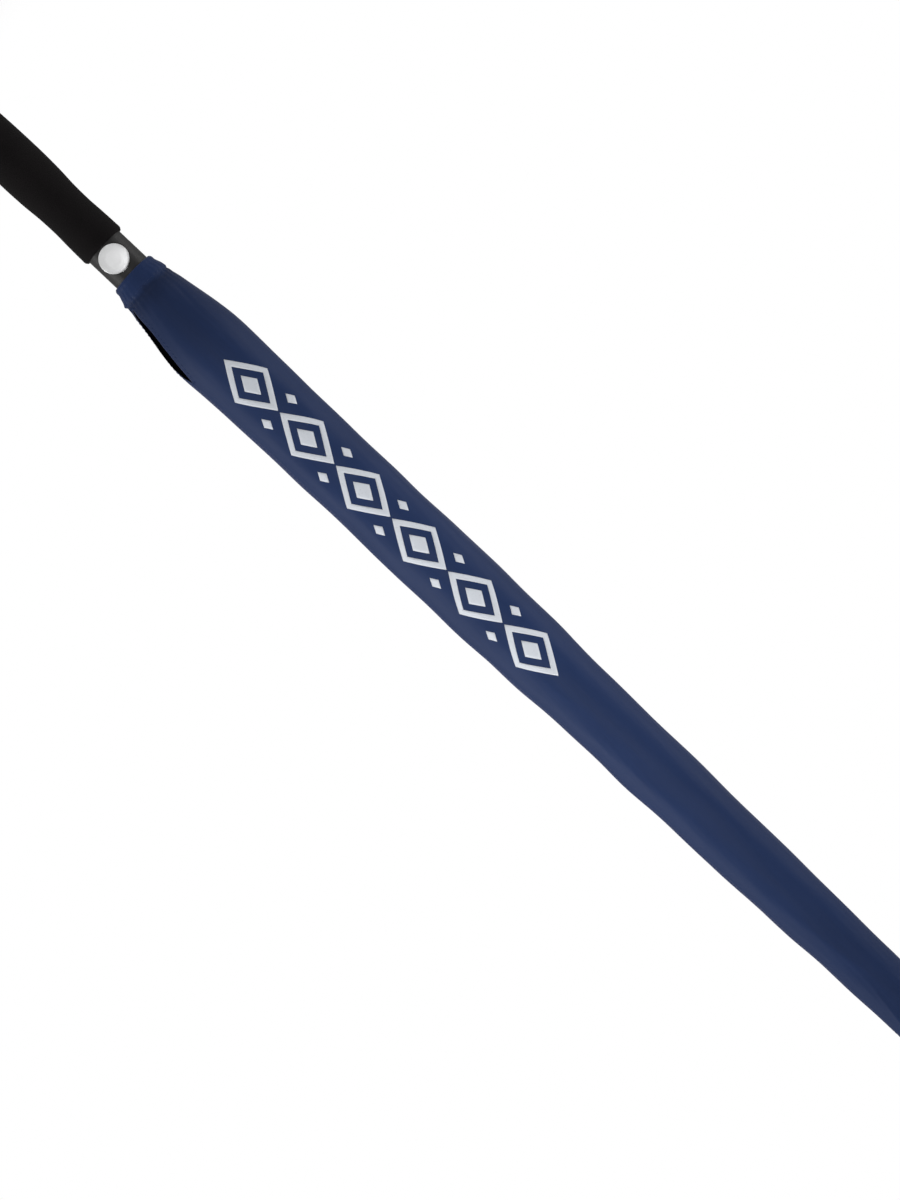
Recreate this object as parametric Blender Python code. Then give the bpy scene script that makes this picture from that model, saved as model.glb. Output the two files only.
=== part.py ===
"""Golf umbrella, folded, in its fabric sleeve. Metres, +Z from the handle's end to the ferrule.

Eight ribs hang from the top notch. Each stretcher is as long as the rib's inner arm, so the runner
stays on the shaft at every opening angle, and the whole frame opens on one angle.
"""

import math

import bmesh
import bpy
from mathutils import Matrix, Vector

# Frame
RIBS = 8
FIRST_RIB_AZIMUTH = math.radians(22.5)
RIB_PITCH = 2 * math.pi / RIBS
NOTCH_Z = 0.950  # height of the ribs' pivots
PIVOT_R = 0.0098  # radius of the ribs' pivots, and of the stretchers' lower ones
ARM = 0.356  # from a rib's pivot to its stretcher's, and from there to the runner
ARM_LEAN = 0.0016  # how much further out the stretcher's pivot stands when folded
RIB_OFFSET = 0.00375  # from the stretcher's pivot out to the rib's own line
RIB_END_Z = 0.229
ROD_R = 0.00175
STRETCHER_R = 0.0013
EYE_R = 0.0017
EYE_HOLE_R = 0.00085
WIRE_R = 0.0005
GAP = 0.0003

# Shaft and drive
SHAFT_R = 0.0065
SHAFT_BORE_R = 0.0052
SHAFT_LOW_Z = 0.014
SHAFT_TOP_Z = 0.9675
BORE_OVER_SHAFT_R = SHAFT_R + GAP
OPEN_ANGLE = math.radians(65)
DRIVE_PIN_R = 0.001
DRIVE_PIN_BELOW_PIVOTS = 0.020
SPRING_TURNS = 30
SPRING_R = 0.0039
SPRING_WIRE_R = 0.00055

# Handle and button
CORE_R = 0.0099
CORE_TOP_Z = 0.1674
COLLAR_LOW_Z = CORE_TOP_Z + GAP
COLLAR_TOP_Z = 0.204
COLLAR_R = 0.0122
CHAMBER_R = 0.0109
GRIP_TOP_Z = 0.1694
BUTTON_AZIMUTH = math.radians(-84)
BUTTON_Z = 0.1789
BUTTON_R = 0.0086
BUTTON_RIM_X = 0.0092  # inner edge of the button's rim
BUTTON_TRAVEL = 0.0018
LATCH_PIN = (0.0092, 0.190)  # radius and height of the latch lever's pin
LATCH_PIN_R = 0.0006
FOOT_R = 0.0092  # radius of the runner's foot
NOSE_X = FOOT_R + GAP

# Derived places
ARM_DROP = math.sqrt(ARM**2 - ARM_LEAN**2)
ARM_R = PIVOT_R + ARM_LEAN
ARM_Z = NOTCH_Z - ARM_DROP
RUNNER_Z = NOTCH_Z - 2 * ARM_DROP
RUNNER_TRAVEL = 2 * (ARM_DROP - ARM * math.cos(OPEN_ANGLE))
DRIVE_PIN_Z = RUNNER_Z - DRIVE_PIN_BELOW_PIVOTS
ROD_LINE_R = ARM_R + RIB_OFFSET


# Meshes

def mesh_from(shape):
    """The bmesh as a mesh, with its faces pointing out and its round sides smooth."""
    bmesh.ops.recalc_face_normals(shape, faces=shape.faces)
    mesh = bpy.data.meshes.new("shape")
    shape.to_mesh(mesh)
    shape.free()
    mesh.shade_smooth()
    mesh.set_sharp_from_angle(angle=math.radians(35))
    return mesh


def skin(shape, rings, closed):
    """Faces between each ring of corners and the next, and back to the first ring if closed."""
    pairs = list(zip(rings, rings[1:]))
    if closed:
        pairs.append((rings[-1], rings[0]))
    for low, high in pairs:
        for k in range(len(low)):
            after = (k + 1) % len(low)
            corners = list(dict.fromkeys([low[k], low[after], high[after], high[k]]))
            if len(corners) > 2:
                shape.faces.new(corners)


def turned(outline, sides=24):
    """A closed outline of (radius, z) turned about Z. A corner on the axis has radius 0."""
    shape = bmesh.new()
    rings = []
    for radius, z in outline:
        if radius == 0:
            rings.append([shape.verts.new((0, 0, z))] * sides)
            continue
        turns = [2 * math.pi * k / sides for k in range(sides)]
        rings.append([shape.verts.new((radius * math.cos(a), radius * math.sin(a), z)) for a in turns])
    skin(shape, rings, closed=True)
    return mesh_from(shape)


def rod(points, radius, sides=8, across=(0, 1, 0), closed=False):
    """A round bar through the points, with mitred bends. across is a direction that no run points in."""
    shape = bmesh.new()
    points = [Vector(p) for p in points]
    count = len(points)
    rings = []
    for k, point in enumerate(points):
        before = points[k - 1] if k or closed else point
        after = points[(k + 1) % count] if k < count - 1 or closed else point
        along = (after - before).normalized()
        side = Vector(across)
        side = (side - side.dot(along) * along).normalized()
        up = along.cross(side)
        turns = [2 * math.pi * (j + 0.5) / sides for j in range(sides)]
        spokes = [math.cos(a) * side + math.sin(a) * up for a in turns]
        rings.append([shape.verts.new(point + radius * spoke) for spoke in spokes])
    skin(shape, rings, closed)
    if not closed:
        shape.faces.new(rings[0])
        shape.faces.new(rings[-1])
    return mesh_from(shape)


def box(low, high):
    """A block from its lowest to its highest corner."""
    shape = bmesh.new()
    bmesh.ops.create_cube(shape, size=1)
    low, high = Vector(low), Vector(high)
    for corner in shape.verts:
        corner.co = Vector(a + (b - a) * (c + 0.5) for a, b, c in zip(low, high, corner.co))
    return mesh_from(shape)


def plate(outline, half_width):
    """An (x, z) outline made into a plate, half_width to each side of the plane y = 0."""
    shape = bmesh.new()
    sides = [[shape.verts.new((x, y, z)) for x, z in outline] for y in (-half_width, half_width)]
    skin(shape, sides, closed=False)
    for side in sides:
        shape.faces.new(side)
    return mesh_from(shape)


def across_disc(x, z, radius, half_width, sides=12):
    """A short round bar along Y, centred on (x, z)."""
    return rod([(x, -half_width, z), (x, half_width, z)], radius, sides, across=(1, 0, 0))


def outward_disc(z, radius, low_x, high_x, sides=24):
    """A round bar along X at height z."""
    return rod([(low_x, 0, z), (high_x, 0, z)], radius, sides)


def combined(first, joined=(), cut=()):
    """One mesh: the first with the joined ones added and the cut ones taken away."""
    helpers = []
    base = bpy.data.objects.new("base", first)
    bpy.context.scene.collection.objects.link(base)
    for operation, meshes in (("UNION", joined), ("DIFFERENCE", cut)):
        for mesh in meshes:
            helper = bpy.data.objects.new("helper", mesh)
            bpy.context.scene.collection.objects.link(helper)
            helpers.append(helper)
            modifier = base.modifiers.new(operation, "BOOLEAN")
            modifier.operation = operation
            modifier.solver = "EXACT"
            modifier.object = helper
    graph = bpy.context.evaluated_depsgraph_get()
    result = bpy.data.meshes.new_from_object(base.evaluated_get(graph))
    for helper in [base, *helpers]:
        bpy.data.objects.remove(helper)
    result.shade_smooth()
    result.set_sharp_from_angle(angle=math.radians(35))
    return result


# Objects

def finish(name, colour, roughness, metallic=0.0):
    material = bpy.data.materials.new(name)
    material.use_nodes = True
    shader = material.node_tree.nodes["Principled BSDF"]
    shader.inputs["Base Color"].default_value = (*colour, 1)
    shader.inputs["Roughness"].default_value = roughness
    shader.inputs["Metallic"].default_value = metallic
    return material


def place(name, mesh, material, pivot=(0, 0, 0), azimuth=0.0, parent=None):
    """The mesh as a named object, whose own +X points to the azimuth, with its origin at the pivot."""
    obj = bpy.data.objects.new(name, mesh)
    if not mesh.materials:
        mesh.materials.append(material)
    bpy.context.scene.collection.objects.link(obj)
    obj.parent = parent
    obj.location = pivot
    obj.rotation_euler = (0, 0, azimuth)
    return obj


def polar(radius, azimuth, z):
    return Vector((radius * math.cos(azimuth), radius * math.sin(azimuth), z))


# Handle

def add_handle(root, foam, plastic, black):
    bore = CORE_R + GAP
    grip = [
        (bore, 0.0068), (0.0134, 0.0068), (0.0148, 0.011), (0.0155, 0.026), (0.0148, 0.048),
        (0.0142, 0.066), (0.0147, 0.086), (0.0149, 0.104), (0.0145, 0.121), (0.0137, 0.133),
        (0.0135, 0.144), (0.0139, 0.155), (0.0141, 0.165), (0.0138, 0.1688), (0.0132, GRIP_TOP_Z),
        (COLLAR_R + 0.0004, GRIP_TOP_Z), (COLLAR_R + 0.0004, 0.1672), (bore, 0.1672),
    ]
    place("grip", turned(grip), foam, parent=root)
    core = [
        (SHAFT_R + GAP, 0.0068), (CORE_R, 0.0068), (CORE_R, CORE_TOP_Z), (SHAFT_R + GAP, CORE_TOP_Z),
    ]
    place("handle_core", turned(core), plastic, parent=root)
    cap = [
        (0, 0), (0.0128, 0), (0.0140, 0.0012), (0.0143, 0.0036), (0.0138, 0.0064), (SHAFT_R, 0.0064),
        (SHAFT_R, 0.0125), (0, 0.0125),
    ]
    place("grip_end_cap", turned(cap), black, parent=root)


def collar_mesh():
    shell = turned([
        (BORE_OVER_SHAFT_R, COLLAR_LOW_Z), (COLLAR_R, COLLAR_LOW_Z), (COLLAR_R, 0.192),
        (0.0119, COLLAR_TOP_Z), (BORE_OVER_SHAFT_R, COLLAR_TOP_Z), (BORE_OVER_SHAFT_R, 0.202),
        (CHAMBER_R, 0.202), (CHAMBER_R, 0.1692), (BORE_OVER_SHAFT_R, 0.1692),
    ], 32)
    hole_low_x = BUTTON_RIM_X - BUTTON_TRAVEL - GAP
    button_hole = outward_disc(BUTTON_Z, BUTTON_R + GAP, hole_low_x, 0.016, 32)
    latch_window = box((0.0082, -0.0033, 0.1915), (0.016, 0.0033, 0.210))
    pin_seats = across_disc(*LATCH_PIN, LATCH_PIN_R + GAP, 0.0062)
    return combined(shell, cut=[button_hole, latch_window, pin_seats])


def button_mesh():
    """A cup with its face outward, a stem that pushes the lever, and a gap that lets the lever pass."""
    cup = turned([
        (0, 0.0106), (0.0016, 0.0106), (0.0016, 0.0119), (0.0074, 0.0119), (0.0074, BUTTON_RIM_X),
        (BUTTON_R, BUTTON_RIM_X), (BUTTON_R, 0.0131), (0.0082, 0.0135), (0.0050, 0.0137), (0, 0.0138),
    ], 32)
    cup.transform(Matrix.Translation((0, 0, BUTTON_Z)) @ Matrix.Rotation(math.pi / 2, 4, "Y"))
    lever_gap = box((0.0085, -0.0026, 0.184), (0.0116, 0.0026, 0.190))
    return combined(cup, cut=[lever_gap])


def lever_mesh():
    """The latch: its nose stands beside the runner's foot, and the button tips it out."""
    pin_x, pin_z = LATCH_PIN
    outline = [
        (0.0090, -0.013), (0.0102, -0.013), (0.0102, 0.003), (0.0120, 0.0138), (0.0120, 0.0206),
        (NOSE_X, 0.0206), (NOSE_X, 0.0188), (0.0109, 0.0188), (0.0109, 0.0143), (0.0090, 0.003),
    ]
    arm = plate([(x, pin_z + z) for x, z in outline], 0.0020)
    boss = across_disc(pin_x, pin_z, 0.0014, 0.0020, 16)
    hole = across_disc(pin_x, pin_z, LATCH_PIN_R + 0.00015, 0.004)
    return combined(arm, joined=[boss], cut=[hole])


def leaf_mesh():
    """A bowed strip between the shaft and the lever's foot."""
    half_thick = 0.0002
    centre = [(0.0070, 0.1720), (0.0080, 0.1750), (0.0085, 0.1785), (0.0080, 0.1820), (0.0070, 0.1850)]
    outer = [(x + half_thick, z) for x, z in centre]
    inner = [(x - half_thick, z) for x, z in reversed(centre)]
    return plate(outer + inner, 0.0018)


def add_latch(root, plastic, silver, steel):
    pin_x, pin_z = LATCH_PIN
    place("button_collar", collar_mesh(), plastic, azimuth=BUTTON_AZIMUTH, parent=root)
    place("push_button", button_mesh(), silver, azimuth=BUTTON_AZIMUTH, parent=root)
    pivot = bpy.data.objects.new("latch_pivot", None)
    bpy.context.scene.collection.objects.link(pivot)
    pivot.parent = root
    pivot.location = polar(pin_x, BUTTON_AZIMUTH, pin_z)
    pivot.rotation_euler = (0, 0, BUTTON_AZIMUTH)
    place("latch_lever", lever_mesh(), steel, pivot=(-pin_x, 0, -pin_z), parent=pivot)
    pin = across_disc(pin_x, pin_z, LATCH_PIN_R, 0.0059)
    place("latch_pin", pin, steel, azimuth=BUTTON_AZIMUTH, parent=root)
    place("latch_spring", leaf_mesh(), steel, azimuth=BUTTON_AZIMUTH, parent=root)


# Shaft, drive and top

def helix(radius, low_z, high_z, turns, steps):
    for k in range(turns * steps + 1):
        angle = 2 * math.pi * k / steps
        yield polar(radius, angle, low_z + (high_z - low_z) * k / (turns * steps))


def add_shaft(root, steel, plastic, black):
    tube = turned([
        (SHAFT_BORE_R, SHAFT_LOW_Z), (SHAFT_R, SHAFT_LOW_Z), (SHAFT_R, SHAFT_TOP_Z),
        (SHAFT_BORE_R, SHAFT_TOP_Z),
    ])
    slot_half = DRIVE_PIN_R + GAP
    slot_low = DRIVE_PIN_Z - 0.004
    slot_high = DRIVE_PIN_Z + RUNNER_TRAVEL + 0.004
    slot = box((-slot_half, 0, slot_low), (slot_half, 0.010, slot_high))
    place("shaft", combined(tube, cut=[slot]), steel, parent=root)

    seat_r = SHAFT_BORE_R - GAP
    seat_top = SHAFT_LOW_Z + 0.016
    seat = [(0, 0.0146), (seat_r, 0.0146), (seat_r, seat_top), (0, seat_top)]
    place("shaft_plug", turned(seat), plastic, parent=root)
    plug_low = DRIVE_PIN_Z - 0.005
    coil = list(helix(SPRING_R, seat_top + 0.001, plug_low - 0.001, SPRING_TURNS, 6))
    place("opening_spring", rod(coil, SPRING_WIRE_R, 4, across=(0, 0, 1)), steel, parent=root)

    cap_low = NOTCH_Z + 0.0058
    cap_top = cap_low + 0.0028
    cap = [(BORE_OVER_SHAFT_R, cap_low), (0.0100, cap_low), (0.0096, cap_top), (BORE_OVER_SHAFT_R, cap_top)]
    place("canopy_cap", turned(cap), plastic, parent=root)
    foot = cap_top + GAP
    tip = [
        (BORE_OVER_SHAFT_R, foot), (0.0092, foot), (0.0094, foot + 0.003), (0.0078, 0.974),
        (0.0066, 0.988), (0.0062, 0.9955), (0.0048, 0.9990), (0, 1.0),
        (0, SHAFT_TOP_Z + GAP), (BORE_OVER_SHAFT_R, SHAFT_TOP_Z + GAP),
    ]
    place("ferrule", turned(tip), black, parent=root)


def notch_mesh():
    """The top hub: a grooved crown for the wire, with a slot for each rib, open below."""
    z = NOTCH_Z
    crown = turned([
        (BORE_OVER_SHAFT_R, z - 0.0035), (0.0122, z - 0.0035), (0.0122, z - 0.00075), (0.0090, z - 0.00075),
        (0.0090, z + 0.00075), (0.0122, z + 0.00075), (0.0122, z + 0.0040), (0.0110, z + 0.0055),
        (BORE_OVER_SHAFT_R, z + 0.0055),
    ], 32)
    return combined(crown, cut=slots(0.0076, z - 0.005, z + 0.0024, ROD_R + GAP))


def runner_mesh():
    """The runner: foot, skirt with the drive pin's hole, and a grooved and slotted crown, open above."""
    z = RUNNER_Z
    body = turned([
        (BORE_OVER_SHAFT_R, z - 0.032), (FOOT_R, z - 0.032), (FOOT_R, z - 0.0295), (0.0088, z - 0.0290),
        (0.0088, z - 0.009), (0.0120, z - 0.005), (0.0120, z - 0.00075), (0.0090, z - 0.00075),
        (0.0090, z + 0.00075), (0.0120, z + 0.00075), (0.0120, z + 0.0035), (BORE_OVER_SHAFT_R, z + 0.0035),
    ], 32)
    pin_path = [(0, 0.003, DRIVE_PIN_Z), (0, 0.012, DRIVE_PIN_Z)]
    pin_hole = rod(pin_path, DRIVE_PIN_R + GAP, 10, across=(1, 0, 0))
    cutters = slots(0.0078, z - 0.0024, z + 0.005, STRETCHER_R + GAP)
    return combined(body, cut=[*cutters, pin_hole])


def slots(inner_r, low_z, high_z, half_width):
    """Radial cutters, one for each rib."""
    for k in range(RIBS):
        cutter = box((inner_r, -half_width, low_z), (0.016, half_width, high_z))
        cutter.transform(Matrix.Rotation(FIRST_RIB_AZIMUTH + k * RIB_PITCH, 4, "Z"))
        yield cutter


def ring_wire(z):
    points = [polar(PIVOT_R, 2 * math.pi * (k + 0.5) / 24, z) for k in range(24)]
    return rod(points, WIRE_R, 4, across=(0, 0, 1), closed=True)


def add_runner(root, plastic, steel):
    pivot = bpy.data.objects.new("runner_pivot", None)
    bpy.context.scene.collection.objects.link(pivot)
    pivot.parent = root
    pivot.location = polar(PIVOT_R, FIRST_RIB_AZIMUTH, RUNNER_Z)
    back = -pivot.location
    place("runner", runner_mesh(), plastic, pivot=back, parent=pivot)
    place("runner_wire", ring_wire(RUNNER_Z), steel, pivot=back, parent=pivot)
    seat_r = SHAFT_BORE_R - GAP
    low, high = DRIVE_PIN_Z - 0.005, DRIVE_PIN_Z + 0.005
    plug = turned([(0, low), (seat_r, low), (seat_r, high), (0, high)])
    pin = rod([(0, 0, DRIVE_PIN_Z), (0, 0.0084, DRIVE_PIN_Z)], DRIVE_PIN_R, 10, across=(1, 0, 0))
    place("drive_plug", combined(plug, joined=[pin]), steel, pivot=back, parent=pivot)


# Ribs, stretchers and canopy. Each mesh has its own +X pointing out from the shaft.

def rib_mesh():
    """From the rib's pivot at the origin: eye, inner arm, ears and pin for the stretcher, outer arm."""
    rod_x = ROD_LINE_R - PIVOT_R
    bend = (rod_x, 0, -ARM_DROP)
    bar = rod([(0.00004, 0, -0.0013), bend, (rod_x, 0, RIB_END_Z - NOTCH_Z)], ROD_R)
    eye = across_disc(0, 0, EYE_R, 0.0015, 12)
    ears = [
        box((0, low_y, -ARM_DROP - 0.0022), (rod_x + 0.0008, high_y, -ARM_DROP + 0.0022))
        for low_y, high_y in ((-0.0025, -0.0015), (0.0015, 0.0025))
    ]
    pin = across_disc(ARM_LEAN, -ARM_DROP, 0.0006, 0.0022, 8)
    hole = across_disc(0, 0, EYE_HOLE_R, 0.004, 8)
    return combined(bar, joined=[eye, *ears, pin], cut=[hole])


def stretcher_mesh():
    """From the rib's ears at the origin down to the runner's wire."""
    foot = (-ARM_LEAN, 0, -ARM_DROP)
    bar = rod([(-0.00001, 0, -0.0012), (foot[0], 0, foot[2] + 0.0012)], STRETCHER_R)
    eyes = [across_disc(x, z, EYE_R - 0.0001, 0.0012, 12) for x, z in ((0, 0), (foot[0], foot[2]))]
    holes = [across_disc(x, z, 0.0009, 0.004, 8) for x, z in ((0, 0), (foot[0], foot[2]))]
    return combined(bar, joined=eyes, cut=holes)


def rib_tip_mesh():
    """A cap over the rib's end, with its bore open upward."""
    low = RIB_END_Z - 0.003 - NOTCH_Z
    top = RIB_END_Z + 0.011 - NOTCH_Z
    bore = ROD_R + 0.0002
    floor = RIB_END_Z - GAP - NOTCH_Z
    outline = [
        (0, low), (0.0014, low), (0.0024, low + 0.001), (0.0024, top), (bore, top), (bore, floor), (0, floor),
    ]
    cap = turned(outline, 8)
    cap.transform(Matrix.Translation((ROD_LINE_R - PIVOT_R, 0, 0)))
    return cap


def panel_mesh(pivot_r):
    """A folded canopy panel: a thin pack between two ribs' lines, outside the rods, from its own pivot."""
    outline = [  # z, inner radius, outer radius
        (0.232, 0.0181, 0.0192), (0.244, 0.0181, 0.0203), (0.252, 0.0171, 0.0206), (0.480, 0.0171, 0.0203),
        (ARM_Z, 0.0171, 0.0181), (0.762, 0.0149, 0.0154), (NOTCH_Z, 0.0125, 0.0133),
    ]
    columns = 4
    half_angle = RIB_PITCH / 2 - GAP / 2 / 0.0125
    turns = [half_angle * (2 * k / columns - 1) for k in range(columns + 1)]
    shape = bmesh.new()
    rings = []
    for z, inner_r, outer_r in outline:
        outer = [polar(outer_r, a, z - NOTCH_Z) for a in turns]
        inner = [polar(inner_r, a, z - NOTCH_Z) for a in reversed(turns)]
        rings.append([shape.verts.new(p - Vector((pivot_r, 0, 0))) for p in outer + inner])
    skin(shape, rings, closed=False)
    last = 2 * columns + 1
    for ring in (rings[0], rings[-1]):
        for k in range(columns):
            shape.faces.new([ring[k], ring[k + 1], ring[last - k - 1], ring[last - k]])
    return mesh_from(shape)


def add_ribs(root, fibre, steel, plastic, fabric):
    corner_r = PIVOT_R / math.cos(RIB_PITCH / 2)  # where two neighbouring ribs' axes cross
    meshes = rib_mesh(), stretcher_mesh(), rib_tip_mesh(), panel_mesh(corner_r)
    for k in range(RIBS):
        azimuth = FIRST_RIB_AZIMUTH + k * RIB_PITCH
        hip = polar(PIVOT_R, azimuth, NOTCH_Z)
        place(f"rib_{k + 1}", meshes[0], fibre, hip, azimuth, root)
        place(f"stretcher_{k + 1}", meshes[1], steel, polar(ARM_R, azimuth, ARM_Z), azimuth, root)
        place(f"rib_tip_{k + 1}", meshes[2], plastic, hip, azimuth, root)
        middle = azimuth + RIB_PITCH / 2
        place(f"canopy_panel_{k + 1}", meshes[3], fabric, polar(corner_r, middle, NOTCH_Z), middle, root)


# Sleeve

def add_sleeve(root, fabric):
    """A tapered tube of fabric with a slit near its mouth and a narrow neck round the ferrule."""
    outer = [
        (0.0130, 0.191), (0.0162, 0.202), (0.0178, 0.213), (0.0197, 0.225), (0.0213, 0.236), (0.0224, 0.247),
        (0.0227, 0.258), (0.0217, 0.325), (0.0216, 0.490), (0.0200, 0.527), (0.0190, 0.600), (0.0178, 0.695),
        (0.0161, 0.762), (0.0152, 0.850), (0.0145, 0.952), (0.0130, 0.9575), (0.0107, 0.9610),
    ]
    wall = 0.00045
    inner = [(r - wall, z) for r, z in outer]
    tube = turned(outer + inner[::-1])
    slit = box((0.012, -0.0012, 0.2056), (0.026, 0.0012, 0.2582))
    slit.transform(Matrix.Rotation(math.radians(-14), 4, "Z"))
    place("sleeve", combined(tube, cut=[slit]), fabric, parent=root)


def main():
    for obj in list(bpy.data.objects):
        bpy.data.objects.remove(obj)
    foam = finish("eva_foam", (0.008, 0.007, 0.007), 0.85)
    plastic = finish("charcoal_plastic", (0.019, 0.018, 0.018), 0.45)
    black = finish("black_plastic", (0.012, 0.012, 0.013), 0.35)
    silver = finish("silver_button", (0.68, 0.69, 0.69), 0.32, 0.9)
    steel = finish("zinc_steel", (0.45, 0.45, 0.46), 0.35, 1.0)
    fibre = finish("fibreglass", (0.015, 0.015, 0.016), 0.4)
    fabric = finish("navy_polyester", (0.023, 0.036, 0.105), 0.6)

    root = bpy.data.objects.new("umbrella", None)
    bpy.context.scene.collection.objects.link(root)
    add_handle(root, foam, plastic, black)
    add_latch(root, plastic, silver, steel)
    add_shaft(root, steel, plastic, black)
    place("top_notch", notch_mesh(), plastic, parent=root)
    place("notch_wire", ring_wire(NOTCH_Z), steel, parent=root)
    add_runner(root, plastic, steel)
    add_ribs(root, fibre, steel, plastic, fabric)
    add_sleeve(root, fabric)


main()
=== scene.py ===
"""Looks of a golf umbrella, folded in its navy sleeve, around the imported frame. Metres, +Z up the shaft.

Azimuths run round the shaft from +X, so the front, which the camera sees, is at -90 degrees.
"""
import math

import bmesh
import bpy
import numpy as np
from mathutils import Matrix, Vector


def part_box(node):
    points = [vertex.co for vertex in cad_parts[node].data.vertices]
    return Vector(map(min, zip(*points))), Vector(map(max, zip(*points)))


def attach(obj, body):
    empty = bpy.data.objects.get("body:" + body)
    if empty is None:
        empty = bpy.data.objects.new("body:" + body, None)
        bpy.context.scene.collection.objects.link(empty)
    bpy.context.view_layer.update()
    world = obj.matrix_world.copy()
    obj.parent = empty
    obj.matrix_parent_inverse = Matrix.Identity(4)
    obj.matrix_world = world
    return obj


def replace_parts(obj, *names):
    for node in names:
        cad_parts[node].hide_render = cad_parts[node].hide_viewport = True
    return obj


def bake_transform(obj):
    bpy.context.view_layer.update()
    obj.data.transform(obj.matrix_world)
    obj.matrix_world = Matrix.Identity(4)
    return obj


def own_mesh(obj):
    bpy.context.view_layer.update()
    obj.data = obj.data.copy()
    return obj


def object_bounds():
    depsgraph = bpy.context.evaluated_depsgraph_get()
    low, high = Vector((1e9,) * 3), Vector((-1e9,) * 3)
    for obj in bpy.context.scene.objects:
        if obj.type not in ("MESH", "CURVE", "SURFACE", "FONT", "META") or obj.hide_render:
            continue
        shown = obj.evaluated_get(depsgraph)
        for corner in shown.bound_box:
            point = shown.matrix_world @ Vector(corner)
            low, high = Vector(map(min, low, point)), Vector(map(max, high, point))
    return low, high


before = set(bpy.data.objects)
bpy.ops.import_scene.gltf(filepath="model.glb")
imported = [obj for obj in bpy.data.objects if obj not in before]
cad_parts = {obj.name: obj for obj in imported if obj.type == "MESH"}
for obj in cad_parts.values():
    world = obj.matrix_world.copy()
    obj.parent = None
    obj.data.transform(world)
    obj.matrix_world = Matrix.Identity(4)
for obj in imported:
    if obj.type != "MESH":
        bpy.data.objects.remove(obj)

CAD_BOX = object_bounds()
FRONT = math.radians(-90)

# Camera: level with the middle of the umbrella, and rolled so that the shaft runs down to the right
VIEW_TILT = math.radians(43.38)
VIEW_CENTRE_X = 0.0108
VIEW_CENTRE_Z = 0.4459
VIEW_HEIGHT = 0.672
CAMERA_DISTANCE = 3.0

# Floor and light
FLOOR_RADIUS = 0.40
FLOOR_DROP = 0.0005  # below the handle's end
ROOM_LIGHT = 0.40  # of the white light from all round
MIDDLE = (0, 0, 0.48)
# Soft boxes: name, place, what each aims at, width, height, power, and spread in degrees
LIGHTS = [
    ("left", (2.2, -0.1, 0.48), MIDDLE, 1.4, 0.6, 1.9, 36),
    ("right", (-2.2, 0.0, 0.48), MIDDLE, 1.4, 0.6, 1.2, 36),
    ("front", (0.25, -3.2, 0.50), (0, 0, 0.50), 2.4, 0.3, 1.7, 15),
    ("behind", (0.2, 2.6, 0.9), MIDDLE, 1.4, 1.4, 4, 180),
    ("above", (0, 0, 2.6), (0, 0, 0), 1.4, 1.4, 8, 70),
]

# Colours and cloth
SLEEVE_NAVY = (0.0103, 0.0240, 0.0780)
CANOPY_NAVY = (0.0062, 0.0130, 0.0400)
INSIDE_SHADE_BLACK = (0.0035, 0.0038, 0.006)
# Painted shade: the sleeve's inside and its cut edges are near black, so that the slit and the rims read as
# dark shade.
INK_WHITE = (0.62, 0.65, 0.70)
THREAD_PITCH = 0.00038

# Frame
RIBS = 8
RIB_PITCH = 2 * math.pi / RIBS
FIRST_RIB_AZIMUTH = RIB_PITCH / 2
HINGE_Z = 0.950  # height of the ribs' pivots

# Grip
GRIP_PLAY = 0.0002  # between its bore and the collar
GRIP_LEAST_RADIUS = 0.0128  # more than its bore's, so that only its outside is followed

# Button
BUTTON_AZIMUTH = math.radians(-84)
BUTTON_WALL = 0.0012
BUTTON_FLOOR = 0.0019  # from the top of its face to the inside of the cup
STEM_RADIUS = 0.0016
STEM_END = 0.0032  # from the top of its face to the stem's end
LEVER_GAP = (0.0034, 0.0052, 0.0060)  # outward, across and along: up to the cup's floor
LEVER_GAP_Z = 0.187

# Sleeve
SLEEVE_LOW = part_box("sleeve")[0].z
SLEEVE_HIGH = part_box("sleeve")[1].z
SLEEVE_WALL = 0.00045
SLEEVE_MEAN_RADIUS = 0.02  # turns azimuths into metres
CREASE_Z = SLEEVE_LOW + 0.0118  # where the hem round the mouth is sewn down
SLIT_LOW = SLEEVE_LOW + 0.0150
SLIT_HIGH = SLEEVE_LOW + 0.0670
SEAM_AZIMUTH = math.radians(-23)  # the side seam, which stays open along the slit
FRONT_FLAP = math.radians(9.5)  # how far each flap of the slit is drawn aside
BACK_FLAP = math.radians(29)
FLAP_REACH = 0.2  # share of the way round over which a flap moves aside
NECK_LENGTH = 0.014  # of the close rows at the top

# Soft folds, listed: height, azimuth in degrees, half length and half width, lean in degrees, and
# how far they stand out
FOLDS = [
    (0.2075, -84, 0.0070, 0.0030, 78, -0.00045),
    (0.2110, -62, 0.0100, 0.0032, 35, -0.00035),
    (0.2160, -100, 0.0130, 0.0040, 20, 0.00030),
    (0.2210, -128, 0.0110, 0.0016, 12, -0.00035),
    (0.2330, -112, 0.0160, 0.0030, -14, -0.00022),
    (0.2380, -62, 0.0200, 0.0040, 10, 0.00030),
    (0.2520, -90, 0.0220, 0.0060, 24, 0.00020),
    (0.7050, -100, 0.0500, 0.0045, 4, -0.00070),
    (0.7300, -72, 0.0450, 0.0036, -7, 0.00070),
    (0.6300, -118, 0.0600, 0.0050, 5, 0.00045),
    (0.5600, -66, 0.0500, 0.0050, -6, -0.00045),
    (0.7880, -55, 0.0220, 0.0015, 12, 0.00050),
    (0.7900, -72, 0.0260, 0.0034, 8, -0.00020),
]

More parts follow.
